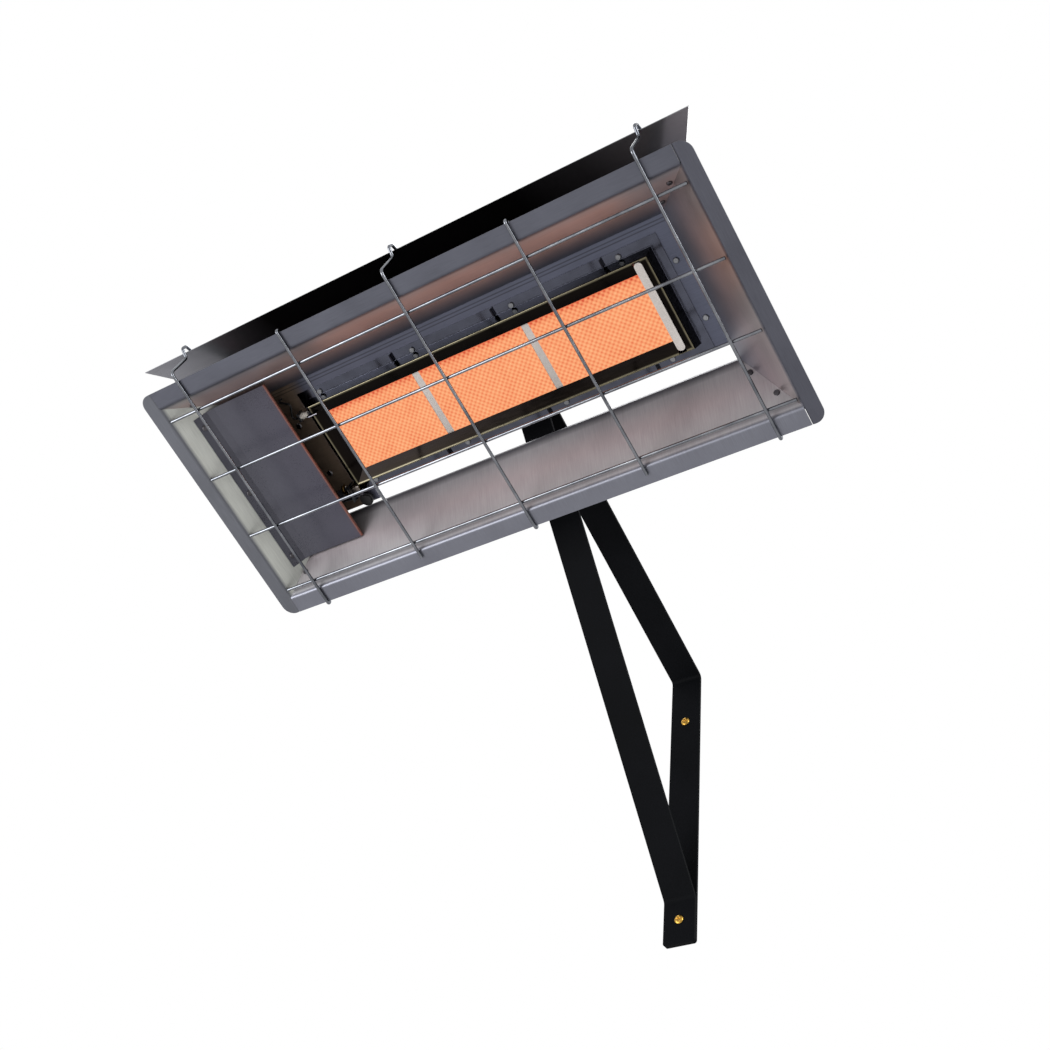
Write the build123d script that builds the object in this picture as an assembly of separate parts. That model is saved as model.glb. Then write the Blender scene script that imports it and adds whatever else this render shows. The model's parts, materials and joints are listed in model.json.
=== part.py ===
from build123d import *
import math
import os

# Gas radiant heater on a two-strap wall bracket, in millimetres.
# Part frame: origin midway between the two wall bolt holes on the face that meets the wall,
# X along the heater, Y towards the wall (the room is at negative Y), Z up.
# The heater is drawn in its own frame first: X along the mouth, Y from the room side to the
# wall side, Z from the mouth plane into the housing. The last section hangs it under the bracket.

# Housing
housing_length = 686.0
housing_width = 307.0
end_flange = 15.2
side_flange = 19.1
flange_corner = 13.0
sheet = 1.0
bend = 3.5
top_bend = 1.5
side_slope = 0.75
end_slope = 0.88
housing_depth = 70.0
top_flange = 12.0
wall_panel_depth = housing_depth - 6.3
wall_hem = 3.5
wall_hem_bend = 2.0
end_gap = 2.0
tab_width = 15.0
tab_foot = 6.0
tab_head = housing_depth - 10.0
lap_gap = 0.1

# Screws of the sheet metal
screw_radius = 1.9
screw_head_radius = 3.2
screw_head_height = 1.8
screw_clearance = 0.15
screw_length = 7.0
corner_screw_depths = (22.0, housing_depth - 21.5)
corner_screw_inset = 6.5

# Shield over the controls end of the mouth
cover_right = -215.8
cover_depth = 34.5
cover_room_edge = -102.0
cover_wall_edge = 105.5
cover_lip_start = 18.2
cover_lip_end = 31.5
cover_bend_x = -290.0
cover_edge_fold = 2.5
cover_screw_depth = 23.6
cover_screw_rows = (-88.0, 2.4, 92.8)

# Burner
tile_length = 132.0
tile_width = 92.0
tile_thickness = 12.8
tile_pitch = 141.0
tile_count = 3
burner_x = 12.75
divider_gap = 0.1
fibre_side = 6.4
fibre_end = 1.3
end_gasket_width = 8.8
end_gasket_half = 51.0
end_gasket_rise = 4.0
collar_rim = 53.6
collar_left = -195.0
collar_right = 237.0
collar_depth = housing_depth - 17.0
collar_lip = 14.3
collar_lip_rise = 5.3
collar_flare = 2.9
collar_flange = 11.1
collar_sheet = 0.8
collar_screw_pitch = 128.6
collar_screw_first = -180.5
collar_screw_y = 60.5
collar_tab_first = -78.0
collar_tab_pitch = 132.5
collar_tab_length = 9.0
collar_tab_height = 4.0

# Burner mounting plate
plate_left = -302.0
plate_right = 279.0
plate_room = -93.0
plate_wall = 68.5
plate_wall_left = 84.0
vent_left = -190.0
vent_right = 266.0
plate_lip = 8.0
window_gap = 0.3
lug_screw_left = -230.0
lug_screw_right = 256.8
lug_screw_y = 33.3
rear_screw_inset = 4.5
rear_screws_x = (-200.0, -67.0, 67.0, 200.0)
rear_screw_y = 50.0

# Plenum behind the tiles
pan_wall_y = 50.5
pan_left = -199.0
pan_right = 231.0
pan_depth = 44.5
pan_ring_y = 66.0
pan_ledge = 4.0
lug_reach = 5.7
lug_half = 42.0
baffle_left = -110.0
baffle_right = 190.0
baffle_half = 33.0
baffle_drop = 22.0

# Gas line, on one axis along X
gas_y = 15.0
gas_z = housing_depth + 22.0
venturi_radius = 13.0
venturi_wall = 1.0
venturi_left = -233.0
venturi_right = -120.0
bell_radius = 18.0
bell_length = 8.0
orifice_radius = 5.0
orifice_tip = 3.0
jet_radius = 1.2
valve_left = -290.0
valve_right = -250.0
valve_half_y = 20.0
valve_half_z = 16.0
stem_radius = 4.0
running_gap = 0.05
stem_depth = 20.0
knob_radius = 17.0
knob_length = 18.0
knob_clear = 5.5
knob_press = 4.0
stem_reach = 16.0
pointer_width = 3.0
spring_wire = 0.6
spring_play = 0.2
knob_pocket = 6.0
knob_spring_radius = 6.2
knob_spring_turns = 4
inlet_radius = 6.5
inlet_neck_radius = 5.5
inlet_length = 20.0
inlet_hex = 8.0
inlet_hex_length = 10.0
inlet_reach = 86.0
inlet_x = -270.0
inlet_bore = 4.0

# Casing round the controls
box_left = -300.0
box_right = -240.0
box_room = -44.0
box_wall = 64.0
box_height = 41.5
box_tab = 10.0
box_tab_x = -285.0

# Spark igniter
piezo_y = -22.0
piezo_radius = 8.0
piezo_flange = 10.0
piezo_length = 37.0
button_radius = 5.5
button_reach = 10.0
button_travel = 6.0
button_shoulder = 4.0
piezo_bore = 20.0
piezo_lip = 2.0
button_stem_radius = 3.5
piezo_spring_radius = 4.6
piezo_spring_turns = 4

# Pilot group beside the left end of the tiles
pilot_y = 60.0
pilot_z = housing_depth - 8.0
pilot_radius = 4.0
pilot_left = -216.0
pilot_right = -203.0
hood_left = -202.5
hood_length = 3.9
hood_half = 5.0
pilot_tube_radius = 2.0
pilot_tube_y = 54.0
pilot_tube_x = -224.0
filter_radius = 8.0
filter_x = -203.5
filter_y = 77.5
thermocouple_y = 68.5
thermocouple_radius = 1.6
thermocouple_tip = -201.0
thermocouple_back = -222.0
thermocouple_turn = -231.0
thermocouple_nut_length = 5.0
thermocouple_entry_y = 50.0
thermocouple_entry_z = housing_depth + 10.0
pilot_foot_left = -236.0
pilot_foot_right = -212.0
pilot_foot_room = 57.0
pilot_foot_wall = 73.0
pilot_riser_room = 53.0
pilot_riser_wall = 72.0
pilot_riser_drop = 8.0
pilot_jet_radius = 2.2
pilot_jet_depth = 6.0
electrode_y = -44.0
electrode_z = housing_depth - 6.0
insulator_radius = 3.0
insulator_left = -219.0
insulator_right = -206.0
electrode_radius = 1.0
lead_radius = 1.2
hole_play = 0.3
igniter_hole_x = -231.0
igniter_hole_y = -70.0
igniter_exit = -250.0
insulator_socket = 8.0
insulator_ring = (-214.0, -211.0)
electrode_reach = 5.0
electrode_tip = 20.0
electrode_lift = 4.0
clip_left = -218.5
clip_right = -216.0

# Heat deflector canopy
canopy_edge_y = -170.0
canopy_edge_z = 40.0
canopy_half = 346.0
canopy_root_y = -52.5
canopy_root_half = 263.0
canopy_foot = 22.5
canopy_sheet = 0.8
canopy_screws_x = (-150.0, -45.0, 75.0, 180.0)

# Wire guard
wire_radius = 1.75
cross_wire_first = -282.7
cross_wire_pitch = 143.55
cross_wire_count = 5
long_wire_first = -115.0
long_wire_pitch = 79.35
long_wire_count = 4
long_wire_end_gap = 3.3
guard_front = -1.9
guard_weld_gap = 0.02
guard_arm_y = -165.1
guard_wrap = 2.4
short_wire_end = 142.0

# Wall bracket
strap_width = 38.1
strap_thickness = 3.2
leg_foot = -158.0
arm_corner_z = 190.8
arm_angle = 21.9
arm_nose = 471.0
arm_bend = 7.0
brace_corner_z = -105.8
brace_angle = 49.1
brace_bend = 10.0
wall_hole_spacing = 260.0
wall_hole_radius = 3.3
strap_corner = 3.0

# Hanger under the bracket's nose
swivel_reach = 442.9
swivel_bolt_radius = 4.0
pivot_drop = 24.9
clevis_sheet = 3.0
clevis_half = 17.0
clevis_length = 26.0
clevis_round = 11.0
pivot_height = housing_depth + 68.0
pivot_radius = 3.0
yoke_sheet = 3.0
yoke_gap = 0.3
yoke_round = 12.0
yoke_room = -26.0
yoke_wall = 30.0
yoke_half = 42.0
yoke_screw_x = 34.0
washer_thickness = 1.6
washer_radius = 9.0
washer_clearance = 0.2
tilt_washer_radius = 6.5
tilt_rest = 18.0

# Values that follow from the sizes above
half_length = housing_length / 2
half_width = housing_width / 2
side_rise = math.hypot(1, side_slope)
end_rise = math.hypot(1, end_slope)
plate_front = housing_depth + sheet / 2
plate_back = plate_front + sheet
pan_front = plate_back + sheet
pan_back = pan_front + pan_depth - sheet
tile_back = plate_back
tile_front = tile_back - tile_thickness
burner_half = (tile_pitch * (tile_count - 1) + tile_length) / 2
tiles_left = burner_x - burner_half
tiles_right = burner_x + burner_half
window_left = tiles_left - fibre_end - window_gap
window_right = tiles_right + 2 * divider_gap + end_gasket_width + 2 * window_gap
window_half = tile_width / 2 + fibre_side + window_gap
box_top = plate_back + box_height


def side_line(depth):
    """Half width of the housing's inside at a depth behind the mouth."""
    return half_width - side_flange - side_slope * depth


def end_line(depth):
    """Half length of the housing's inside at a depth behind the mouth."""
    return half_length - end_flange - end_slope * depth


def folded(points, thickness, radius):
    """Cross-section of a folded sheet that follows the points."""
    if len(points) == 2:
        return trace(Line(*points), line_width=thickness)
    return trace(FilletPolyline(*points, radius=radius), line_width=thickness)


def outline(*points):
    """Flat face with straight edges."""
    return Polygon(*points, align=None)


def along_x(face, start, end):
    """Solid whose section is drawn in (Y, Z) and runs along X."""
    return extrude(Plane.YZ.offset(start) * face, amount=end - start, dir=(1, 0, 0))


def along_y(face, start, end):
    """Solid whose section is drawn in (X, Z) and runs along Y."""
    return extrude(Plane.XZ.offset(-start) * face, amount=end - start, dir=(0, 1, 0))


def along_z(face, start, end):
    """Solid whose outline is drawn in (X, Y) and runs along Z."""
    return extrude(Pos(0, 0, start) * face, amount=end - start, dir=(0, 0, 1))


def block(x0, x1, y0, y1, z0, z1):
    """Box between two corners."""
    return Pos((x0 + x1) / 2, (y0 + y1) / 2, (z0 + z1) / 2) * Box(x1 - x0, y1 - y0, z1 - z0)


def rod(start, end, radius):
    """Round bar between two points."""
    span = Vector(*end) - Vector(*start)
    base = Plane(origin=start, z_dir=span)
    return extrude(base * Circle(radius), amount=span.length, dir=span.normalized())


def pipe(start, end, outer, inner):
    """Round tube between two points."""
    return rod(start, end, outer) - rod(start, end, inner)


def hexagon(start, end, flats):
    """Hexagonal bar between two points, its size given from the middle to a flat."""
    span = Vector(*end) - Vector(*start)
    face = RegularPolygon(flats, 6, major_radius=False)
    return extrude(Plane(origin=start, z_dir=span) * face, amount=span.length, dir=span.normalized())


def group(pieces):
    """Like pieces kept as separate solids in one node."""
    return Compound([piece.solid() for piece in pieces])


def bent_wire(points, radius, bends):
    """Round wire along straight runs joined by arcs."""
    path = FilletPolyline(*points, radius=bends)
    section = Plane(origin=path @ 0, z_dir=path % 0) * Circle(radius)
    return sweep(section, path=path)


def pan_screw(seat, direction, length):
    """Pan-head screw with its head standing on the seat and its shank running along direction."""
    line = Vector(*direction).normalized()
    top = Vector(*seat) - line * screw_head_height
    head = rod(tuple(top), seat, screw_head_radius)
    rim = head.edges().filter_by(GeomType.CIRCLE).sort_by(lambda edge: (edge.center() - top).length)[0]
    head = chamfer(rim, screw_head_height / 3)
    return head + rod(seat, tuple(Vector(*seat) + line * length), screw_radius)


def screw_hole(seat, direction):
    """Clearance hole of a sheet-metal screw, through the sheets on both sides of its seat."""
    line = Vector(*direction).normalized() * (3 * sheet)
    middle = Vector(*seat)
    return rod(tuple(middle - line), tuple(middle + line), screw_radius + screw_clearance)


def spring(start, radius, wire, length, turns):
    """Compression spring along X from start, as one open coil."""
    pitch = length / turns
    slant = math.tau * radius / math.hypot(math.tau * radius, pitch)
    print("spring of", turns, "turns, least gap between its coils:", round(pitch * slant - 2 * wire, 2), "mm")
    path = Pos(*start) * Rot(0, 90, 0) * Helix(pitch=pitch, height=length, radius=radius)
    section = Plane(origin=path @ 0, z_dir=path % 0) * Circle(wire)
    return sweep(section, path=path, is_frenet=True)


def corner_screw_seats():
    """Seat and outward direction of each screw at the housing's corners."""
    seats = []
    for end in (-1, 1):
        for side in (-1, 1):
            for depth in corner_screw_depths:
                x = end * (end_line(depth) - corner_screw_inset)
                outward = (0, side / side_rise, side_slope / side_rise)
                y = side * side_line(depth) - outward[1] * sheet / 2
                seats.append(((x, y, depth - outward[2] * sheet / 2), outward))
    return seats


def rear_screw_seats():
    """Places of the screws that hold the mounting plate to the housing from behind."""
    room_y = -(side_line(housing_depth) + top_flange) + rear_screw_inset
    places = [(x, room_y) for x in rear_screws_x]
    end_x = end_line(housing_depth) + top_flange - rear_screw_inset
    places += [(end * end_x, side * rear_screw_y) for end in (-1, 1) for side in (-1, 1)]
    return places


def cover_screw_seats():
    """Seat and direction of the screws that hold the shield to the left end panel."""
    outward = (-1 / end_rise, 0, end_slope / end_rise)
    lift = sheet / 2 + sheet + lap_gap
    x = -end_line(cover_screw_depth) - outward[0] * lift
    z = cover_screw_depth - outward[2] * lift
    return [((x, y, z), outward) for y in cover_screw_rows]


def collar_screw_places():
    """Places of the screws along both sides of the collar."""
    return [(collar_screw_first + i * collar_screw_pitch, side * collar_screw_y)
            for i in range(4) for side in (-1, 1)]


def lug_screw_places():
    """Places of the screws at the two ends of the plenum."""
    return [(x, side * lug_screw_y) for x in (lug_screw_left, lug_screw_right) for side in (-1, 1)]


def mouth_corners(height):
    """Block whose plan is the flange's outline with its rounded corners."""
    return along_z(RectangleRounded(housing_length, housing_width, flange_corner), -1, height)


def reflector_side(side):
    """Long panel: flange, slope, and a top flange on the room side or a hem on the wall side."""
    mid = sheet / 2
    points = [(side * half_width, mid), (side * side_line(mid), mid)]
    if side < 0:
        top = side_line(housing_depth)
        points += [(side * top, housing_depth), (side * (top + top_flange), housing_depth)]
    else:
        top = side_line(wall_panel_depth)
        points += [(side * top, wall_panel_depth), (side * top, wall_panel_depth + wall_hem)]
    reach = half_length - end_flange - end_gap
    panel = along_x(folded(points, sheet, [bend, top_bend if side < 0 else wall_hem_bend]), -reach, reach)
    slack = sheet / 2 * end_rise + lap_gap
    plan = outline((-end_line(0) + slack, 0), (-end_line(0) + slack, -1), (end_line(0) - slack, -1),
                   (end_line(0) - slack, 0), (end_line(housing_depth + 1) - slack, housing_depth + 1),
                   (-end_line(housing_depth + 1) + slack, housing_depth + 1))
    panel = panel & along_y(plan, -half_width - 1, half_width + 1)
    for seat, outward in corner_screw_seats():
        if seat[1] * side > 0:
            panel -= screw_hole(seat, outward)
    return panel


def reflector_end(end):
    """End panel: full-width flange, slope, top flange, and two tabs folded behind the long panels."""
    mid = sheet / 2
    top = end_line(housing_depth)
    points = [(end * half_length, mid), (end * end_line(mid), mid), (end * top, housing_depth),
              (end * (top + top_flange), housing_depth)]
    panel = along_y(folded(points, sheet, [bend, top_bend]), -half_width, half_width)
    reach = (sheet * 1.5 + lap_gap) * side_rise
    high = housing_depth + sheet
    gate = outline((-half_width, -1), (half_width, -1), (half_width, sheet),
                   (side_line(sheet) + reach, sheet), (side_line(high) + reach, high),
                   (-side_line(high) - reach, high), (-side_line(sheet) - reach, sheet),
                   (-half_width, sheet))
    panel = panel & along_x(gate, -half_length - 1, half_length + 1)
    shift = (sheet + lap_gap) * side_rise
    for side in (-1, 1):
        lap = folded([(side * (side_line(tab_foot) + shift), tab_foot),
                      (side * (side_line(tab_head) + shift), tab_head)], sheet, bend)
        lap = along_x(lap, min(end * half_length, 0), max(end * half_length, 0))
        sides = outline((end * end_line(0), 0), (end * end_line(high), high),
                        (end * (end_line(high) - tab_width), high), (end * (end_line(0) - tab_width), 0))
        panel += lap & along_y(sides, -half_width, half_width)
    panel = panel & mouth_corners(high + 1)
    for seat, outward in corner_screw_seats():
        if seat[0] * end > 0:
            panel -= screw_hole(seat, outward)
    for x, y in rear_screw_seats():
        if x * end > end_line(housing_depth):
            panel -= screw_hole((x, y, housing_depth), (0, 0, 1))
    if end < 0:
        for seat, outward in cover_screw_seats():
            panel -= screw_hole(seat, outward)
    return panel


def reflector_room():
    """Room-side long panel, with the holes of the screws that hold the mounting plate."""
    panel = reflector_side(-1)
    for x, y in rear_screw_seats()[:len(rear_screws_x)]:
        panel -= screw_hole((x, y, housing_depth), (0, 0, 1))
    return panel


def control_cover():
    """Flat shield whose lip lies on the left end panel."""
    shift = (sheet + lap_gap) * end_rise
    points = [(-end_line(cover_lip_start) + shift, cover_lip_start),
              (-end_line(cover_lip_end) + shift, cover_lip_end), (cover_bend_x, cover_depth),
              (cover_right, cover_depth), (cover_right, cover_depth + cover_edge_fold)]
    cover = along_y(folded(points, sheet, sheet), cover_room_edge, cover_wall_edge)
    for seat, outward in cover_screw_seats():
        cover -= screw_hole(seat, outward)
    return cover


def mounting_plate():
    """Frame plate across the back of the housing, with the burner's window and a lip by the vent."""
    face = outline((plate_left, plate_room), (plate_right, plate_room), (plate_right, plate_wall),
                   (vent_left, plate_wall), (vent_left, plate_wall_left), (plate_left, plate_wall_left))
    plate = along_z(face, plate_front, plate_back)
    plate += block(vent_left, vent_right, plate_wall - sheet, plate_wall,
                   plate_front, plate_front + plate_lip)
    plate -= block(window_left, window_right, -window_half, window_half, plate_front - 1, plate_back + 1)
    for x, y in rear_screw_seats() + collar_screw_places() + lug_screw_places():
        plate -= screw_hole((x, y, plate_front), (0, 0, 1))
    for place in box_screw_places():
        plate -= screw_hole((*place, plate_front), (0, 0, 1))
    for x, y, radius in lead_holes():
        plate -= rod((x, y, plate_front - 1), (x, y, plate_back + 1), radius)
    return plate


def lead_holes():
    """Holes of the pilot tube, the thermocouple's lead and the igniter's lead in the plate."""
    return [(pilot_tube_x, pilot_tube_y, pilot_tube_radius + hole_play),
            (thermocouple_turn, thermocouple_y, lead_radius + hole_play),
            (igniter_hole_x, igniter_hole_y, lead_radius + hole_play)]


def box_screw_places():
    """Places of the two screws of the control casing."""
    return [(box_tab_x, box_room - box_tab / 2), (box_tab_x, box_wall + box_tab / 2)]


def collar_side(along, rim, start, end, outward):
    """One side of the collar, its section drawn from the lip's edge to the flange."""
    points = [(rim - outward * collar_lip, collar_depth + collar_lip_rise), (rim, collar_depth),
              (rim + outward * collar_flare, plate_front - collar_sheet / 2),
              (rim + outward * (collar_flare + collar_flange), plate_front - collar_sheet / 2)]
    face = folded(points, collar_sheet, collar_sheet)
    return along(face, start, end)


def tile_retainer():
    """Collar that holds the tiles: sloping lip, steep wall and flat flange, mitred at its corners."""
    wide = collar_flare + collar_flange
    left, right = collar_left - wide, collar_right + wide
    y_out = collar_rim + wide
    lip = collar_lip + 1
    inner_y = collar_rim - lip
    inner_left, inner_right = collar_left + lip, collar_right - lip
    parts = []
    for side in (-1, 1):
        plan = outline((left, side * y_out), (right, side * y_out), (inner_right, side * inner_y),
                       (inner_left, side * inner_y))
        strip = collar_side(along_x, side * collar_rim, left, right, side)
        parts.append(strip & along_z(plan, 0, plate_back))
    for rim, far, near, way in ((collar_left, left, inner_left, -1), (collar_right, right, inner_right, 1)):
        plan = outline((far, -y_out), (far, y_out), (near, inner_y), (near, -inner_y))
        strip = collar_side(along_y, rim, -y_out, y_out, way)
        parts.append(strip & along_z(plan, 0, plate_back))
    collar = parts[0] + parts[1] + parts[2] + parts[3]
    notch_left = tiles_right + divider_gap
    notch_right = notch_left + end_gasket_width + 3 * divider_gap
    collar -= block(notch_left, notch_right, -collar_rim + 0.6, collar_rim - 0.6, collar_depth - 2,
                    collar_depth + collar_lip_rise + 2)
    tab_z = plate_front - collar_sheet
    for i in range(3):
        x = collar_tab_first + i * collar_tab_pitch
        for side in (-1, 1):
            y = side * (collar_rim + collar_flare + collar_tab_length / 2 + 1)
            collar += block(x - collar_sheet, x + collar_sheet, y - collar_tab_length / 2,
                            y + collar_tab_length / 2, tab_z - collar_tab_height, tab_z + collar_sheet / 2)
    for x, y in collar_screw_places():
        collar -= screw_hole((x, y, plate_front), (0, 0, 1))
    return collar


def ceramic_tile(index):
    """One ceramic burner tile."""
    x = burner_x + (index - (tile_count - 1) / 2) * tile_pitch
    tile = block(x - tile_length / 2, x + tile_length / 2, -tile_width / 2, tile_width / 2,
                 tile_front, tile_back)
    return chamfer(tile.edges().group_by(Axis.Z)[0], 0.8)


def tile_dividers():
    """Strips that fill the gaps between the tiles."""
    strips = []
    for i in range(tile_count - 1):
        x = burner_x + (i - (tile_count - 2) / 2) * tile_pitch
        half = (tile_pitch - tile_length) / 2 - divider_gap
        strips.append(block(x - half, x + half, -tile_width / 2, tile_width / 2, tile_front + 0.6, tile_back))
    return group(strips)


def tile_gasket():
    """Fibre packing round three sides of the tiles."""
    outer = block(tiles_left - fibre_end, tiles_right, -tile_width / 2 - fibre_side,
                  tile_width / 2 + fibre_side, tile_front + 3, tile_back)
    inner = block(tiles_left - divider_gap, tiles_right + 1, -tile_width / 2 - divider_gap,
                  tile_width / 2 + divider_gap, tile_front, tile_back + 1)
    return outer - inner


def end_gasket():
    """Round-ended fibre strip across the right end of the tiles."""
    left = tiles_right + 2 * divider_gap
    strip = block(left, left + end_gasket_width, -end_gasket_half, end_gasket_half,
                  tile_front - end_gasket_rise, tile_back)
    return fillet(strip.edges().filter_by(Axis.Z), end_gasket_width * 0.45)


def plenum_pan():
    """Pan behind the tiles: ledge, flange with end lugs, four walls and a back."""
    ring = block(pan_left - 6, pan_right + 6, -pan_ring_y, pan_ring_y, plate_back, pan_front)
    ring += block(lug_screw_left - lug_reach, lug_screw_right + lug_reach, -lug_half, lug_half,
                  plate_back, pan_front)
    ring -= block(tiles_left + pan_ledge, tiles_right - pan_ledge, -tile_width / 2 + pan_ledge,
                  tile_width / 2 - pan_ledge, plate_back - 1, pan_front + 1)
    shell = block(pan_left, pan_right, -pan_wall_y, pan_wall_y, plate_back, pan_back)
    shell -= block(pan_left + sheet, pan_right - sheet, -pan_wall_y + sheet, pan_wall_y - sheet,
                   plate_back - 1, pan_back - sheet)
    pan = ring + shell
    pan -= rod((pan_left - 1, gas_y, gas_z), (pan_left + 3, gas_y, gas_z), venturi_radius + 0.1)
    for x, y in collar_screw_places() + lug_screw_places():
        pan -= screw_hole((x, y, plate_back), (0, 0, 1))
    for x, y in yoke_screw_places() + canopy_screw_places():
        pan -= screw_hole((x, y, pan_back), (0, 0, 1))
    return pan


def yoke_screw_places():
    """Places of the four screws of the tilt yoke."""
    rows = (yoke_room + 7, yoke_wall - 7)
    return [(end * yoke_screw_x, y) for end in (-1, 1) for y in rows]


def canopy_screw_places():
    """Places of the screws along the canopy's foot."""
    return [(x, canopy_root_y + canopy_foot / 2) for x in canopy_screws_x]


def plenum_baffle():
    """Channel that spreads the gas and air over all the tiles."""
    top = pan_back - sheet - baffle_drop
    points = [(-baffle_half, pan_back - sheet), (-baffle_half, top), (baffle_half, top),
              (baffle_half, pan_back - sheet)]
    return along_x(folded(points, sheet, 2), baffle_left, baffle_right)


def venturi_tube():
    """Mixing tube with a flared mouth, fixed in the pan's left wall by its collar."""
    def point(x):
        return (x, gas_y, gas_z)
    inner = venturi_radius - venturi_wall
    tube = pipe(point(venturi_left + bell_length), point(venturi_right), venturi_radius, inner)
    collar = pipe(point(pan_left - 2), point(pan_left), venturi_radius + 5, venturi_radius - 0.5)
    profile = outline((bell_radius - venturi_wall, 0), (bell_radius, 0), (venturi_radius, bell_length),
                      (inner, bell_length))
    bell = revolve(Plane.XZ * profile, Axis.Z)
    bell = Pos(*point(venturi_left)) * Rot(0, 90, 0) * bell
    return tube + collar + bell


def gas_orifice():
    """Jet holder that leaves the valve and blows into the venturi."""
    tip = (venturi_left + orifice_tip, gas_y, gas_z)
    body = rod((valve_right, gas_y, gas_z), tip, orifice_radius)
    body += hexagon((valve_right, gas_y, gas_z), (valve_right + 7, gas_y, gas_z), orifice_radius + 1.5)
    return body - rod((valve_right + 4, gas_y, gas_z), (tip[0] + 1, gas_y, gas_z), jet_radius)


def gas_valve_body():
    """Cast valve block on two feet, bored for its stem."""
    body = block(valve_left, valve_right, gas_y - valve_half_y, gas_y + valve_half_y,
                 gas_z - valve_half_z, gas_z + valve_half_z)
    body = fillet(body.edges().filter_by(Axis.X), 3)
    for x in (valve_left + 5, valve_right - 5):
        body += block(x - 4, x + 4, gas_y - 12, gas_y + 12, plate_back, gas_z - valve_half_z + 1)
    return body - rod((valve_left - 1, gas_y, gas_z), (valve_left + stem_depth, gas_y, gas_z),
                      stem_radius + running_gap)


def valve_stem():
    """Turning stem of the valve, long enough to carry the knob over its travel."""
    start = (box_left - knob_clear - stem_reach + knob_press + 1, gas_y, gas_z)
    return rod(start, (valve_left + stem_depth - 0.5, gas_y, gas_z), stem_radius)


def valve_knob():
    """Fluted round knob with a raised pointer, bored to slide on its stem."""
    inner = box_left - knob_clear
    outer = inner - knob_length
    knob = rod((outer, gas_y, gas_z), (inner, gas_y, gas_z), knob_radius)
    knob = fillet(knob.edges().filter_by(GeomType.CIRCLE).sort_by(Axis.X)[0], 2)
    for i in range(12):
        turn = math.radians(15 + 30 * i)
        y = gas_y + (knob_radius + 1) * math.cos(turn)
        z = gas_z + (knob_radius + 1) * math.sin(turn)
        knob -= rod((outer - 1, y, z), (inner - 4, y, z), 2.2)
    knob += block(outer - 1.5, outer + 1, gas_y - pointer_width / 2, gas_y + pointer_width / 2,
                  gas_z, gas_z + knob_radius - 3)
    knob -= rod((outer + 3, gas_y, gas_z), (inner + 1, gas_y, gas_z), stem_radius + running_gap)
    pocket = knob_spring_radius + spring_wire + 1
    knob -= rod((inner - knob_pocket, gas_y, gas_z), (inner + 1, gas_y, gas_z), pocket)
    return knob


def knob_spring():
    """Return spring round the stem, between the casing and the knob's pocket."""
    start = (box_left - knob_clear - knob_pocket + spring_wire + spring_play, gas_y, gas_z)
    length = knob_clear + knob_pocket - 2 * (spring_wire + spring_play)
    return spring(start, knob_spring_radius, spring_wire, length, knob_spring_turns)


def inlet_fitting():
    """Gas inlet with a hexagon and a plain end for the supply."""
    start = gas_y + valve_half_y
    body = rod((inlet_x, start, gas_z), (inlet_x, inlet_reach, gas_z), inlet_neck_radius)
    body += rod((inlet_x, inlet_reach - inlet_length, gas_z), (inlet_x, inlet_reach, gas_z), inlet_radius)
    body += hexagon((inlet_x, start, gas_z), (inlet_x, start + inlet_hex_length, gas_z), inlet_hex)
    body -= rod((inlet_x, start + 6, gas_z), (inlet_x, inlet_reach + 1, gas_z), inlet_bore)
    return body


def control_box():
    """Five-sided casing over the valve, with a screw tab at each end."""
    box = block(box_left, box_right, box_room, box_wall, plate_back, box_top)
    box -= block(box_left + sheet, box_right - sheet, box_room + sheet, box_wall - sheet,
                 plate_back - 1, box_top - sheet)
    for x, y in box_screw_places():
        box += block(x - 7, x + 7, y - box_tab / 2, y + box_tab / 2, plate_back, plate_back + sheet)
        box -= screw_hole((x, y, plate_back), (0, 0, 1))
    box -= rod((box_left - 1, gas_y, gas_z), (box_left + 2, gas_y, gas_z), stem_radius + 0.5)
    box -= rod((box_left - 1, piezo_y, gas_z), (box_left + 2, piezo_y, gas_z), piezo_radius + 0.2)
    box -= rod((box_right - 2, gas_y, gas_z), (box_right + 1, gas_y, gas_z), orifice_radius + 0.5)
    box -= rod((inlet_x, box_wall - 2, gas_z), (inlet_x, box_wall + 1, gas_z), inlet_neck_radius + 0.5)
    box -= rod((box_right - 2, pilot_tube_y, gas_z), (box_right + 1, pilot_tube_y, gas_z),
               pilot_tube_radius + hole_play)
    box -= rod((box_right - 2, thermocouple_entry_y, thermocouple_entry_z),
               (box_right + 1, thermocouple_entry_y, thermocouple_entry_z), lead_radius + hole_play)
    box -= rod((igniter_exit, box_room - 1, gas_z), (igniter_exit, box_room + 2, gas_z),
               lead_radius + hole_play)
    return box


def piezo_body():
    """Igniter barrel through the casing's left wall, with an outer flange and a blind bore."""
    barrel = rod((box_left, piezo_y, gas_z), (box_left + piezo_length, piezo_y, gas_z), piezo_radius)
    barrel += rod((box_left - piezo_lip, piezo_y, gas_z), (box_left, piezo_y, gas_z), piezo_flange)
    return barrel - rod((box_left - piezo_lip - 1, piezo_y, gas_z), (box_left + piezo_bore, piezo_y, gas_z),
                        button_radius + running_gap)


def piezo_button():
    """Push button of the igniter, with a thinner tail inside its spring."""
    front = box_left - piezo_lip - button_reach
    shoulder = box_left + button_shoulder
    tail = box_left + piezo_bore - button_travel - 2
    button = rod((front, piezo_y, gas_z), (shoulder, piezo_y, gas_z), button_radius)
    button = fillet(button.edges().filter_by(GeomType.CIRCLE).sort_by(Axis.X)[0], 1.5)
    return button + rod((shoulder, piezo_y, gas_z), (tail, piezo_y, gas_z), button_stem_radius)


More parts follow.
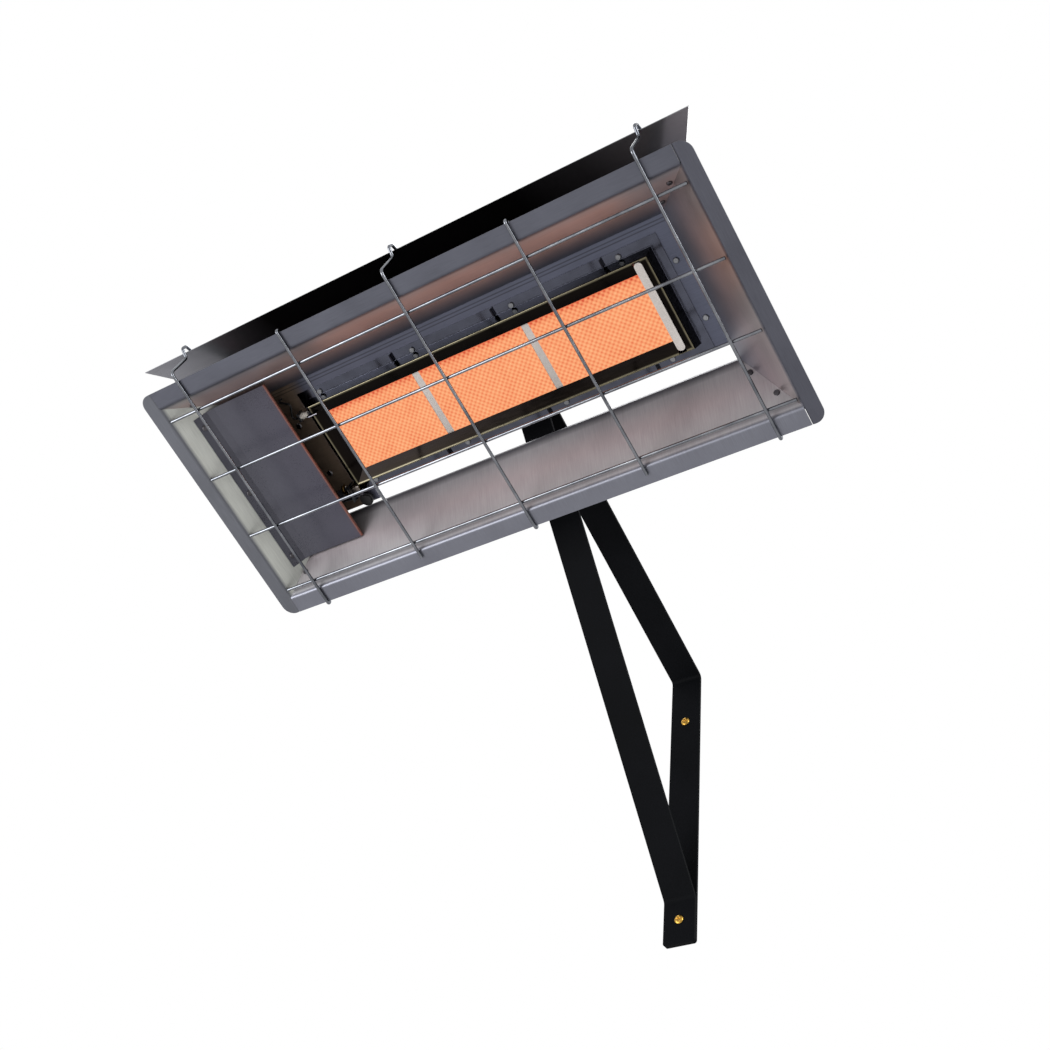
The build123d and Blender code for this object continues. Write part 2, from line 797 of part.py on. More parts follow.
def piezo_spring():
    """Return spring of the button, between its shoulder and the bore's end."""
    start = (box_left + button_shoulder + spring_wire + spring_play, piezo_y, gas_z)
    length = piezo_bore - button_shoulder - 2 * (spring_wire + spring_play)
    return spring(start, piezo_spring_radius, spring_wire, length, piezo_spring_turns)


def pilot_bracket():
    """Folded bracket that stands on the mounting plate and carries the pilot burner."""
    foot = block(pilot_foot_left, pilot_foot_right, pilot_foot_room, pilot_foot_wall,
                 plate_front - sheet, plate_front)
    foot -= rod((thermocouple_turn, thermocouple_y, plate_front - 5),
                (thermocouple_turn, thermocouple_y, plate_front + 5), lead_radius + 0.5)
    left, right = pilot_foot_right - sheet, pilot_foot_right
    riser = block(left, right, pilot_riser_room, pilot_riser_wall, pilot_z - pilot_riser_drop, plate_front)
    for y, radius in ((pilot_y, pilot_radius), (thermocouple_y, thermocouple_radius)):
        riser -= rod((left - 1, y, pilot_z), (right + 1, y, pilot_z), radius + lap_gap)
    return foot + riser


def pilot_burner():
    """Small brass burner along X, on the bracket."""
    body = rod((pilot_left, pilot_y, pilot_z), (pilot_right, pilot_y, pilot_z), pilot_radius)
    return body - rod((pilot_right - pilot_jet_depth, pilot_y, pilot_z), (pilot_right + 1, pilot_y, pilot_z),
                      pilot_jet_radius)


def pilot_hood():
    """Sheet hood that turns the pilot flame towards the tiles."""
    points = [(pilot_y - hood_half, pilot_z + hood_half), (pilot_y - hood_half, pilot_z - hood_half),
              (pilot_y + hood_half, pilot_z - hood_half), (pilot_y + hood_half, pilot_z + hood_half)]
    hood = along_x(folded(points, sheet, 2), pilot_right - 8, hood_left + hood_length)
    disc = rod((pilot_right - 8, pilot_y, pilot_z), (pilot_right - 7, pilot_y, pilot_z), hood_half + 0.3)
    return hood + disc - rod((pilot_right - 9, pilot_y, pilot_z), (pilot_right - 6, pilot_y, pilot_z),
                             pilot_radius + 0.1)


def pilot_filter():
    """Round air filter of the pilot, standing on the mounting plate."""
    body = rod((filter_x, filter_y, pilot_z), (filter_x, filter_y, plate_front), filter_radius - 1.5)
    return body + rod((filter_x, filter_y, pilot_z + 2), (filter_x, filter_y, pilot_z + 4), filter_radius)


def pilot_tube():
    """Copper tube from the valve, through the mounting plate, to the pilot burner."""
    points = [(pilot_left, pilot_y, pilot_z), (pilot_tube_x, pilot_y, pilot_z),
              (pilot_tube_x, pilot_tube_y, pilot_z + 6), (pilot_tube_x, pilot_tube_y, gas_z),
              (valve_right - 6, pilot_tube_y, gas_z), (valve_right - 6, gas_y + valve_half_y, gas_z)]
    return bent_wire(points, pilot_tube_radius, [3.5, 3.5, 8, 8])


def thermocouple():
    """Probe beside the pilot flame."""
    probe = rod((thermocouple_back, thermocouple_y, pilot_z), (thermocouple_tip, thermocouple_y, pilot_z),
                thermocouple_radius)
    return probe + rod((thermocouple_back, thermocouple_y, pilot_z),
                       (thermocouple_back + thermocouple_nut_length, thermocouple_y, pilot_z),
                       thermocouple_radius + 0.8)


def thermocouple_lead():
    """Lead from the probe, through the mounting plate, to the valve's magnet."""
    turn = thermocouple_turn
    y, z = thermocouple_entry_y, thermocouple_entry_z
    points = [(thermocouple_back, thermocouple_y, pilot_z), (turn, thermocouple_y, pilot_z),
              (turn, thermocouple_y, z), (turn, y, z), (valve_right - 12, y, z),
              (valve_right - 12, gas_y + valve_half_y, z)]
    return bent_wire(points, lead_radius, [5, 6, 6, 5])


def igniter_insulator():
    """Ceramic sleeve of the spark electrode."""
    sleeve = rod((insulator_left, electrode_y, electrode_z), (insulator_right, electrode_y, electrode_z),
                 insulator_radius)
    ring_left, ring_right = insulator_ring
    sleeve += rod((ring_left, electrode_y, electrode_z), (ring_right, electrode_y, electrode_z),
                  insulator_radius + 0.8)
    return sleeve - rod((insulator_right - insulator_socket, electrode_y, electrode_z),
                        (insulator_right + 1, electrode_y, electrode_z), electrode_radius + lap_gap)


def igniter_electrode():
    """Bent rod that carries the spark to the edge of the first tile."""
    turn = insulator_right + electrode_reach
    front = collar_depth - electrode_lift
    points = [(insulator_right - insulator_socket, electrode_y, electrode_z),
              (turn, electrode_y, electrode_z), (turn, electrode_y, front),
              (insulator_right + electrode_tip, electrode_y, front)]
    return bent_wire(points, electrode_radius, [3, 3])


def electrode_clip():
    """Clip that stands on the mounting plate and holds the ceramic sleeve."""
    post = block(clip_left, clip_right, electrode_y - 5, electrode_y + 5, electrode_z - 4.5, plate_front)
    return post - rod((clip_left - 1, electrode_y, electrode_z), (clip_right + 1, electrode_y, electrode_z),
                      insulator_radius + lap_gap)


def igniter_lead():
    """Lead from the igniter, through the casing and the mounting plate, to the electrode."""
    hole_x, hole_y = igniter_hole_x, igniter_hole_y
    leave = igniter_exit
    points = [(box_left + piezo_length, piezo_y, gas_z), (leave, piezo_y, gas_z), (leave, hole_y + 8, gas_z),
              (hole_x, hole_y, gas_z - 8), (hole_x, hole_y, electrode_z - 2),
              (hole_x + 14, hole_y + 7, electrode_z - 4), (hole_x + 2, electrode_y, electrode_z),
              (insulator_left, electrode_y, electrode_z)]
    return bent_wire(points, lead_radius, [5, 5, 5, 5, 3.5, 3.5])


def heat_deflector():
    """Polished canopy over the room side, screwed to the plenum's back by its foot."""
    foot_z = pan_back + canopy_sheet / 2
    points = [(canopy_edge_y, canopy_edge_z), (canopy_root_y, foot_z), (canopy_root_y + canopy_foot, foot_z)]
    canopy = along_x(folded(points, canopy_sheet, 3), -canopy_half, canopy_half)
    foot_y = canopy_root_y + canopy_foot + 1
    plan = outline((-canopy_half, canopy_edge_y - 1), (canopy_half, canopy_edge_y - 1),
                   (canopy_root_half, canopy_root_y), (canopy_root_half, foot_y),
                   (-canopy_root_half, foot_y), (-canopy_root_half, canopy_root_y))
    canopy = canopy & along_z(plan, 0, foot_z + 5)
    for x, y in canopy_screw_places():
        canopy -= screw_hole((x, y, pan_back), (0, 0, 1))
    return canopy


def guard_cross_wires():
    """Wires across the mouth: three hook over the canopy's edge, two over the room-side flange."""
    behind = sheet + wire_radius + 0.15
    wall = half_width + guard_wrap
    arm_top = canopy_z(guard_arm_y) - canopy_sheet - wire_radius - 0.6
    hooked = [(0, half_width - 9, behind), (0, wall, behind), (0, wall, guard_front),
              (0, guard_arm_y, guard_front), (0, guard_arm_y, arm_top - 4),
              (0, canopy_edge_y - 6, canopy_edge_z - 1), (0, canopy_edge_y - 5, canopy_edge_z + 7),
              (0, canopy_edge_y + 6, canopy_edge_z + 12)]
    bends = [guard_wrap - 0.05, guard_wrap - 0.05, 5, 4, 3, 3]
    short = [(0, -half_width + 9, behind), (0, -wall, behind), (0, -wall, guard_front),
             (0, short_wire_end, guard_front)]
    wires = []
    for i in range(cross_wire_count):
        x = cross_wire_first + i * cross_wire_pitch
        long = i % 2 == 0
        wire = bent_wire(hooked if long else short, wire_radius, bends if long else bends[:2])
        wires.append(Pos(x, 0, 0) * wire)
    return group(wires)


def guard_long_wires():
    """Straight wires along the mouth, welded behind the cross wires."""
    z = guard_front + 2 * wire_radius + guard_weld_gap
    reach = end_line(z) - long_wire_end_gap
    rows = [long_wire_first + i * long_wire_pitch for i in range(long_wire_count)]
    return group([rod((-reach, y, z), (reach, y, z), wire_radius) for y in rows])


def canopy_z(y):
    """Height of the canopy's middle above the mouth plane at a place across it."""
    rise = (pan_back + canopy_sheet / 2 - canopy_edge_z) / (canopy_root_y - canopy_edge_y)
    return canopy_edge_z + rise * (y - canopy_edge_y)


def tilt_yoke():
    """Base plate on the plenum with two upright ears for the tilt bolt."""
    base_top = pan_back + yoke_sheet
    yoke = block(-yoke_half, yoke_half, yoke_room, yoke_wall, pan_back, base_top)
    yoke = fillet(yoke.edges().filter_by(Axis.Z), 4)
    inner = clevis_half + yoke_gap
    for start in (inner, -inner - yoke_sheet):
        end = start + yoke_sheet
        ear = block(start, end, -yoke_round, yoke_round, pan_back, pivot_height)
        ear += rod((start, 0, pivot_height), (end, 0, pivot_height), yoke_round)
        yoke += ear
    yoke -= rod((-inner - 5, 0, pivot_height), (inner + 5, 0, pivot_height), pivot_radius + running_gap)
    for x, y in yoke_screw_places():
        yoke -= screw_hole((x, y, pan_back + yoke_sheet), (0, 0, 1)) + screw_hole((x, y, pan_back), (0, 0, 1))
    return yoke


def tilt_bolt():
    """Bolt through the yoke and the clevis."""
    ear = clevis_half + yoke_gap + yoke_sheet
    shank = rod((-ear - 1, 0, pivot_height), (ear + 13, 0, pivot_height), pivot_radius)
    return shank + hexagon((-ear - 4.2, 0, pivot_height), (-ear, 0, pivot_height), 5)


def tilt_washer():
    """Washer under the wing nut."""
    ear = clevis_half + yoke_gap + yoke_sheet
    return pipe((ear, 0, pivot_height), (ear + washer_thickness, 0, pivot_height),
                tilt_washer_radius, pivot_radius + running_gap)


def tilt_wing_nut():
    """Wing nut that clamps the tilt."""
    start = clevis_half + yoke_gap + yoke_sheet + washer_thickness
    hub = rod((start, 0, pivot_height), (start + 7, 0, pivot_height), 5.5)
    for side in (-1, 1):
        wing = outline((start + 1, side * 4), (start + 2, side * 9), (start + 8, side * 15),
                       (start + 11, side * 11), (start + 6, side * 4))
        hub += along_z(wing, pivot_height - 1.2, pivot_height + 1.2)
    return hub - rod((start - 1, 0, pivot_height), (start + 12, 0, pivot_height), pivot_radius + running_gap)


# Wall bracket, drawn in the part frame
arm = math.radians(arm_angle)
arm_up = Vector(0, math.sin(arm), math.cos(arm))
seat_under_arm = Vector(0, -swivel_reach, arm_corner_z + math.tan(arm) * swivel_reach)
brace_under = seat_under_arm - arm_up * strap_thickness
pivot = brace_under - arm_up * pivot_drop


def arm_line(y, below):
    """Height of a line along the arm, a distance below the arm's underside."""
    return arm_corner_z - math.tan(arm) * y - below / math.cos(arm)


def strap(points, bends):
    """Flat strap of the bracket with slightly rounded ends, its section drawn in (Y, Z)."""
    bar = along_x(folded(points, strap_thickness, bends), -strap_width / 2, strap_width / 2)
    foot = bar.edges().filter_by(Axis.Y).sort_by(Axis.Z)[:2]
    return fillet(foot, strap_corner)


def wall_hole(z):
    """Wall bolt hole through the leg and anything in front of it."""
    return rod((0, -3 * strap_thickness, z), (0, 1, z), wall_hole_radius)


def nose_hole(radius):
    """Hole along the swivel axis."""
    return rod(tuple(pivot), tuple(seat_under_arm + arm_up * 20), radius)


def upper_arm():
    """Wall leg and sloping arm in one strap."""
    mid = strap_thickness / 2
    points = [(-mid, leg_foot), (-mid, arm_line(-mid, -mid)), (-arm_nose, arm_line(-arm_nose, -mid))]
    bar = strap(points, arm_bend)
    for z in (-wall_hole_spacing / 2, wall_hole_spacing / 2):
        bar -= wall_hole(z)
    return bar - nose_hole(swivel_bolt_radius + running_gap)


def brace_strap():
    """Diagonal strap with a foot on the wall leg and a nose under the arm's nose."""
    mid = strap_thickness / 2
    foot_y = -strap_thickness - mid
    steep = math.tan(math.radians(brace_angle))
    start = arm_corner_z - mid / math.cos(arm)
    join = (brace_corner_z + steep * foot_y - start) / (steep - math.tan(arm))
    points = [(foot_y, leg_foot), (foot_y, brace_corner_z), (join, arm_line(join, mid)),
              (-arm_nose, arm_line(-arm_nose, mid))]
    bar = strap(points, [brace_bend, brace_bend])
    return bar - wall_hole(-wall_hole_spacing / 2) - nose_hole(swivel_bolt_radius + running_gap)


def swivel_clevis():
    """Inverted U under the bracket's nose, with two ears for the tilt bolt."""
    top = pivot_drop
    clevis = block(-clevis_half, clevis_half, -clevis_length / 2, clevis_length / 2, top - clevis_sheet, top)
    for start in (-clevis_half, clevis_half - clevis_sheet):
        end = start + clevis_sheet
        clevis += block(start, end, -clevis_round, clevis_round, 0, top)
        clevis += rod((start, 0, 0), (end, 0, 0), clevis_round)
    clevis -= rod((-clevis_half - 1, 0, 0), (clevis_half + 1, 0, 0), pivot_radius + running_gap)
    return clevis - rod((0, 0, top - 5), (0, 0, top + 1), swivel_bolt_radius + running_gap)


def swivel_bolt():
    """Hexagon bolt up through the clevis and both straps."""
    under = pivot_drop - clevis_sheet - washer_thickness
    top = pivot_drop + 2 * strap_thickness + washer_thickness
    return rod((0, 0, under), (0, 0, top + 9), swivel_bolt_radius) + \
        hexagon((0, 0, under - 5.3), (0, 0, under), swivel_bolt_radius + 2.5)


def swivel_washers():
    """Washer on the bolt's head inside the clevis and washer under the nut."""
    under = pivot_drop - clevis_sheet
    top = pivot_drop + 2 * strap_thickness
    inner = swivel_bolt_radius + washer_clearance
    lower = pipe((0, 0, under - washer_thickness), (0, 0, under), washer_radius, inner)
    upper = pipe((0, 0, top + lap_gap), (0, 0, top + washer_thickness), washer_radius, inner)
    return group([lower, upper])


def swivel_nut():
    """Lock nut on top of the bracket's nose."""
    base = pivot_drop + 2 * strap_thickness + washer_thickness
    nut = hexagon((0, 0, base), (0, 0, base + 7), swivel_bolt_radius + 2.5)
    return nut - rod((0, 0, base - 1), (0, 0, base + 8), swivel_bolt_radius + running_gap)


def screws(seats, length):
    """Group of like screws."""
    return group([pan_screw(seat, direction, length) for seat, direction in seats])


def plate_screws():
    """Screws of the mounting plate: four through the plenum's lugs, the rest from behind."""
    seats = [((x, y, plate_front), (0, 0, 1)) for x, y in lug_screw_places()]
    seats += [((x, y, plate_back), (0, 0, -1)) for x, y in rear_screw_seats()]
    return screws(seats, screw_length)


def seats_at(places, depth, direction):
    """Seats of screws that stand square to the mouth plane at one depth."""
    return [((x, y, depth), (0, 0, direction)) for x, y in places]


# Pieces that tilt with the heater, in the heater's own frame
heater = {
    "reflector_side_room": reflector_room(),
    "reflector_side_wall": reflector_side(1),
    "reflector_end_left": reflector_end(-1),
    "reflector_end_right": reflector_end(1),
    "reflector_screws": screws(corner_screw_seats(), screw_length),
    "control_cover": control_cover(),
    "control_cover_screws": screws(cover_screw_seats(), screw_length),
    "burner_mounting_plate": mounting_plate(),
    "mounting_plate_screws": plate_screws(),
    "tile_retainer": tile_retainer(),
    "retainer_screws": screws(seats_at(collar_screw_places(), plate_front - collar_sheet, 1), screw_length),
    "ceramic_tile_left": ceramic_tile(0),
    "ceramic_tile_middle": ceramic_tile(1),
    "ceramic_tile_right": ceramic_tile(2),
    "tile_dividers": tile_dividers(),
    "tile_gasket": tile_gasket(),
    "end_gasket": end_gasket(),
    "plenum_pan": plenum_pan(),
    "plenum_baffle": plenum_baffle(),
    "venturi_tube": venturi_tube(),
    "gas_orifice": gas_orifice(),
    "gas_valve_body": gas_valve_body(),
    "valve_stem": valve_stem(),
    "valve_knob": valve_knob(),
    "knob_spring": knob_spring(),
    "inlet_fitting": inlet_fitting(),
    "control_box": control_box(),
    "control_box_screws": screws(seats_at(box_screw_places(), plate_back + sheet, -1), screw_length),
    "piezo_body": piezo_body(),
    "piezo_button": piezo_button(),
    "piezo_spring": piezo_spring(),
    "pilot_bracket": pilot_bracket(),
    "pilot_burner": pilot_burner(),
    "pilot_hood": pilot_hood(),
    "pilot_filter": pilot_filter(),
    "pilot_tube": pilot_tube(),
    "thermocouple": thermocouple(),
    "thermocouple_lead": thermocouple_lead(),
    "igniter_electrode": igniter_electrode(),
    "igniter_insulator": igniter_insulator(),
    "electrode_clip": electrode_clip(),
    "igniter_lead": igniter_lead(),
    "heat_deflector": heat_deflector(),
    "deflector_screws": screws(seats_at(canopy_screw_places(), pan_back + canopy_sheet, -1), screw_length),
    "guard_cross_wires": guard_cross_wires(),
    "guard_long_wires": guard_long_wires(),
    "tilt_yoke": tilt_yoke(),
    "yoke_screws": screws(seats_at(yoke_screw_places(), pan_back + yoke_sheet, -1), screw_length),
    "tilt_bolt": tilt_bolt(),
    "tilt_washer": tilt_washer(),
    "tilt_wing_nut": tilt_wing_nut(),
}

# Pieces about the swivel axis, drawn with the tilt axis at their origin
hanger = {
    "swivel_clevis": swivel_clevis(),
    "swivel_bolt": swivel_bolt(),
    "swivel_washers": swivel_washers(),
    "swivel_nut": swivel_nut(),
}

bracket = {
    "upper_arm": upper_arm(),
    "brace_strap": brace_strap(),
}

# The heater hangs with its tilt axis on the pivot, the hanger square to the arm.
hung = Location(tuple(pivot)) * Rot(-tilt_rest, 0, 0) * Pos(0, 0, -pivot_height)
nose = Location(tuple(pivot)) * Rot(-arm_angle, 0, 0)

os.makedirs("parts", exist_ok=True)
for pieces, place in ((heater, hung), (hanger, nose), (bracket, Location())):
    for name, piece in pieces.items():
        export_step(place * piece, f"parts/{name}.step")
print("pivot", [round(c, 2) for c in pivot], "swivel axis", [round(c, 4) for c in arm_up])
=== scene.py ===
import json
import math
import bmesh
import bpy
from mathutils import Matrix, Vector


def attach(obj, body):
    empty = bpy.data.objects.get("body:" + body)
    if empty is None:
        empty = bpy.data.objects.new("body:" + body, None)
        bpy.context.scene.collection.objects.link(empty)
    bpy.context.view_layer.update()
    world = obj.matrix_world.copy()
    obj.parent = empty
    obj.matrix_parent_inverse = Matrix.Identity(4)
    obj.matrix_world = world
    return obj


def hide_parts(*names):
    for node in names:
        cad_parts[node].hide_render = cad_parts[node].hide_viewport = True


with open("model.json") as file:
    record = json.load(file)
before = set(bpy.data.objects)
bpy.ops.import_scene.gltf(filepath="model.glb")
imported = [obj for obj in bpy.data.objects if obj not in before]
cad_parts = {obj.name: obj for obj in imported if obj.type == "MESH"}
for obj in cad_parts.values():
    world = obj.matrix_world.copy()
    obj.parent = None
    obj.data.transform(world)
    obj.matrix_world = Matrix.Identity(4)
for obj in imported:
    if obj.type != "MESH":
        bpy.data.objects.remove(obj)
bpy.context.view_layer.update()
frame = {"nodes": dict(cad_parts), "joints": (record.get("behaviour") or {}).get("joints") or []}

# The camera stands below the heater on the room side, beyond its right end, and looks up at its
# mouth. Its place and turn were worked out from the mouth's four corners.
eye = Vector((0.7163, -1.2896, -0.8929))
eye_right = Vector((0.8359, 0.5408, 0.0930))
eye_up = Vector((0.3061, -0.6002, 0.7389))
eye_back = eye_right.cross(eye_up)
photo_width = 1050
focal_pixels = 1474.65
sensor_mm = 36.0
lens = bpy.data.cameras.new("camera")
lens.sensor_width = sensor_mm
lens.lens = sensor_mm * focal_pixels / photo_width
lens.clip_end = 50
camera = bpy.data.objects.new("camera", lens)
camera.matrix_world = Matrix((
    (eye_right.x, eye_up.x, eye_back.x, eye.x),
    (eye_right.y, eye_up.y, eye_back.y, eye.y),
    (eye_right.z, eye_up.z, eye_back.z, eye.z),
    (0, 0, 0, 1)))
bpy.context.scene.collection.objects.link(camera)
bpy.context.scene.camera = camera
bpy.context.scene.view_settings.view_transform = "Standard"


def linear(code):
    """A colour written as sRGB hex, turned to the linear values that nodes take."""
    channels = [int(code[i:i + 2], 16) / 255 for i in (1, 3, 5)]
    return [c / 12.92 if c <= 0.04045 else ((c + 0.055) / 1.055) ** 2.4 for c in channels] + [1.0]


def add(tree, kind, settings=None, **inputs):
    """Adds one node with its settings; an input is a plain value or another node's output.
    Inputs are given by name, or by number as i0, i1 and so on."""
    node = tree.nodes.new(kind)
    for key, value in (settings or {}).items():
        setattr(node, key, value)
    for key, value in inputs.items():
        numbered = key[0] == "i" and key[1:].isdigit()
        socket = node.inputs[int(key[1:]) if numbered else key.replace("_", " ")]
        if isinstance(value, bpy.types.NodeSocket):
            tree.links.new(value, socket)
        else:
            socket.default_value = value
    return node


# The floor is a plain pale sheet well below the heater, and the room round it is a plain white.
# The camera and the metal see that white at full strength, and the object is lit a little lower.
floor_drop = 1.75
floor_half = 9.0
floor_rough = 0.85
room_light = 0.55
floor_mesh = bpy.data.meshes.new("floor")
floor_form = bmesh.new()
bmesh.ops.create_grid(floor_form, x_segments=1, y_segments=1, size=floor_half,
                      matrix=Matrix.Translation((0, 0, -floor_drop)))
floor_form.to_mesh(floor_mesh)
floor_form.free()
floor = bpy.data.objects.new("floor", floor_mesh)
bpy.context.scene.collection.objects.link(floor)
pale_floor = bpy.data.materials.new("pale matt floor")
pale_floor.use_nodes = True
floor_shader = pale_floor.node_tree.nodes["Principled BSDF"]
floor_shader.inputs["Base Color"].default_value = linear("#eceae8")
floor_shader.inputs["Roughness"].default_value = floor_rough
floor_mesh.materials.append(pale_floor)

world = bpy.data.worlds.new("white studio")
world.use_nodes = True
bpy.context.scene.world = world
sky = world.node_tree
sky.nodes.clear()
larger = {"operation": "MAXIMUM"}
ray = add(sky, "ShaderNodeLightPath")
seen = add(sky, "ShaderNodeMath", larger, i0=ray.outputs["Is Camera Ray"],
           i1=ray.outputs["Is Transmission Ray"])
shown = add(sky, "ShaderNodeMath", larger, i0=seen.outputs[0], i1=ray.outputs["Is Glossy Ray"])
level = add(sky, "ShaderNodeMath", larger, i0=shown.outputs[0], i1=room_light)
white = add(sky, "ShaderNodeBackground", Color=(1, 1, 1, 1), Strength=level.outputs[0])
add(sky, "ShaderNodeOutputWorld", Surface=white.outputs[0])


def soft_lamp(name, place, target, size, watts):
    """Square soft box at a place, turned to a target."""
    light = bpy.data.lights.new(name, "AREA")
    light.size = size
    light.energy = watts
    lamp = bpy.data.objects.new(name, light)
    way = Vector(target) - Vector(place)
    lamp.matrix_world = Matrix.Translation(place) @ way.to_track_quat("-Z", "Y").to_matrix().to_4x4()
    bpy.context.scene.collection.objects.link(lamp)


heater_middle = (0, -0.5, 0.22)
soft_lamp("key soft box", (-1.6, -2.2, -0.9), heater_middle, size=1.6, watts=55)
soft_lamp("side soft box", (2.4, -0.6, 0.4), heater_middle, size=1.4, watts=40)
soft_lamp("top soft box", (-0.4, 0.4, 2.4), heater_middle, size=1.8, watts=45)


# The heater is drawn upright in its own axes and hangs tilted from its bolt. The hung matrix takes
# a place from those axes to the shared frame, and the upright matrix takes it back, so that the
# finishes and the tiles can be laid out along the heater.
pivot = Vector(next(j["pos_m"] for j in frame["joints"] if j["name"] == "tilt"))
rest_tilt = math.radians(18.0)
pivot_height_mm = 138.0
hung = Matrix.Translation(pivot) @ Matrix.Rotation(-rest_tilt, 4, "X") @ \
    Matrix.Translation((0, 0, -pivot_height_mm / 1000))
upright = hung.inverted()


def heater_millimetres(tree):
    """The place of a surface point in the heater's own axes, in millimetres."""
    place = add(tree, "ShaderNodeTexCoord")
    return add(tree, "ShaderNodeMapping", Vector=place.outputs["Object"],
               Location=[c * 1000 for c in upright.to_translation()], Rotation=upright.to_euler(),
               Scale=(1000, 1000, 1000)).outputs[0]


def zones(tree, place, stops, axis):
    """Colours that change along one axis of the heater, given as (millimetres, colour) stops."""
    low, high = stops[0][0], stops[-1][0]
    split = add(tree, "ShaderNodeSeparateXYZ", Vector=place)
    along = add(tree, "ShaderNodeMapRange", Value=split.outputs["XYZ".index(axis)],
                From_Min=low, From_Max=high)
    ramp = add(tree, "ShaderNodeValToRGB", Fac=along.outputs[0])
    marks = ramp.color_ramp.elements
    for i, (mm, code) in enumerate(stops):
        where = (mm - low) / (high - low)
        if i == 0:
            mark = marks[0]
        elif i == len(stops) - 1:
            mark = marks[len(marks) - 1]
        else:
            mark = marks.new(where)
        mark.position = where
        mark.color = linear(code)
    return ramp.outputs["Color"]


def finish(name, dark, light, metallic, rough, grain_mm, stretch=(1, 1, 1), spread=0.08, bump_mm=0.02,
           coat=0.0, specular=0.5, depth=None, along=None, across=None):
    """A surface whose colour, roughness and fine relief follow one grain, laid in the heater's own
    axes in millimetres. Its tint can change with depth (Z), along (X) or across (Y) the heater."""
    clouds_per_mm = 0.014
    grain_share = 0.5
    cloud_share = 0.5
    tone_dark, tone_light = 0.35, 0.65
    wear_from, wear_to = 0.3, 0.7
    least_rough = 0.03
    relief_strength = 0.5
    material = bpy.data.materials.new(name)
    material.use_nodes = True
    tree = material.node_tree
    shader = tree.nodes["Principled BSDF"]
    shader.inputs["Metallic"].default_value = metallic
    shader.inputs["Specular IOR Level"].default_value = specular
    shader.inputs["Coat Weight"].default_value = coat
    heater_mm = heater_millimetres(tree)
    grain_place = add(tree, "ShaderNodeMapping", Vector=heater_mm,
                      Scale=[1 / grain_mm / s for s in stretch])
    grain = add(tree, "ShaderNodeTexNoise", Vector=grain_place.outputs[0], Scale=1.0, Detail=4.0,
                Roughness=0.6)
    cloud = add(tree, "ShaderNodeTexNoise", Vector=heater_mm, Scale=clouds_per_mm, Detail=3.0)
    soft_cloud = add(tree, "ShaderNodeMath", {"operation": "MULTIPLY"}, i0=cloud.outputs["Fac"],
                     i1=cloud_share)
    blend = add(tree, "ShaderNodeMath", {"operation": "MULTIPLY_ADD"}, i0=grain.outputs["Fac"],
                i1=grain_share, i2=soft_cloud.outputs[0])
    ramp = add(tree, "ShaderNodeValToRGB", Fac=blend.outputs[0])
    ramp.color_ramp.elements[0].position = tone_dark
    ramp.color_ramp.elements[0].color = linear(dark)
    ramp.color_ramp.elements[1].position = tone_light
    ramp.color_ramp.elements[1].color = linear(light)
    colour = ramp.outputs["Color"]
    # The depth, along and across stops multiply the colour. On the sheets below they carry painted shade,
    # painted highlights and painted reflections as well as tint.
    for stops, axis in ((depth, "Z"), (along, "X"), (across, "Y")):
        if stops:
            colour = add(tree, "ShaderNodeMix", {"data_type": "RGBA", "blend_type": "MULTIPLY"}, i0=1.0,
                         i6=colour, i7=zones(tree, heater_mm, stops, axis)).outputs[2]
    tree.links.new(colour, shader.inputs["Base Color"])
    worn = add(tree, "ShaderNodeMapRange", Value=blend.outputs[0], From_Min=wear_from, From_Max=wear_to,
               To_Min=max(rough - spread, least_rough), To_Max=rough + spread)
    tree.links.new(worn.outputs[0], shader.inputs["Roughness"])
    relief = add(tree, "ShaderNodeBump", Strength=relief_strength, Distance=bump_mm / 1000,
                 Height=grain.outputs["Fac"])
    tree.links.new(relief.outputs[0], shader.inputs["Normal"])
    return material


def dress(material, *names):
    """Gives CAD nodes their finish."""
    for name in names:
        piece = frame["nodes"][name]
        if not piece.material_slots:
            piece.data.materials.append(material)
        for place in piece.material_slots:
            place.material = material


# The wall bracket is two flat steel straps, bent cold and powder coated in black. The swivel bolt
# and the lower wall screw hold them together. The coat is matt, with a faint orange-peel relief.
dress(finish("black powder coat on steel strap", "#07080a", "#0f1013", metallic=0.0, rough=0.6,
             grain_mm=1.6, bump_mm=0.05, specular=0.03), "upper_arm", "brace_strap")


# The wall screws are turned brass with a low dome and a cross recess, one in each hole of the
# bracket's wall leg. Their heads stand on the strap, and their shanks end at the wall.
screw_head_radius_mm = 5.4
screw_shank_radius_mm = 3.0
screw_dome_mm = 2.4
screw_dome_curve = ((1.0, 0.6), (0.86, 1.5), (0.55, 2.1))
screw_turn_steps = 40
same_point_m = 1e-6
recess_depth_mm = 1.0
recess_half_length_mm = 3.0
recess_half_width_mm = 0.5
strap_mm = 3.2
wall_hole_height_mm = 130.0
yellow_brass = finish("turned yellow brass", "#8f6c2a", "#c79f4c", metallic=1.0, rough=0.26, grain_mm=0.5,
                      bump_mm=0.02)


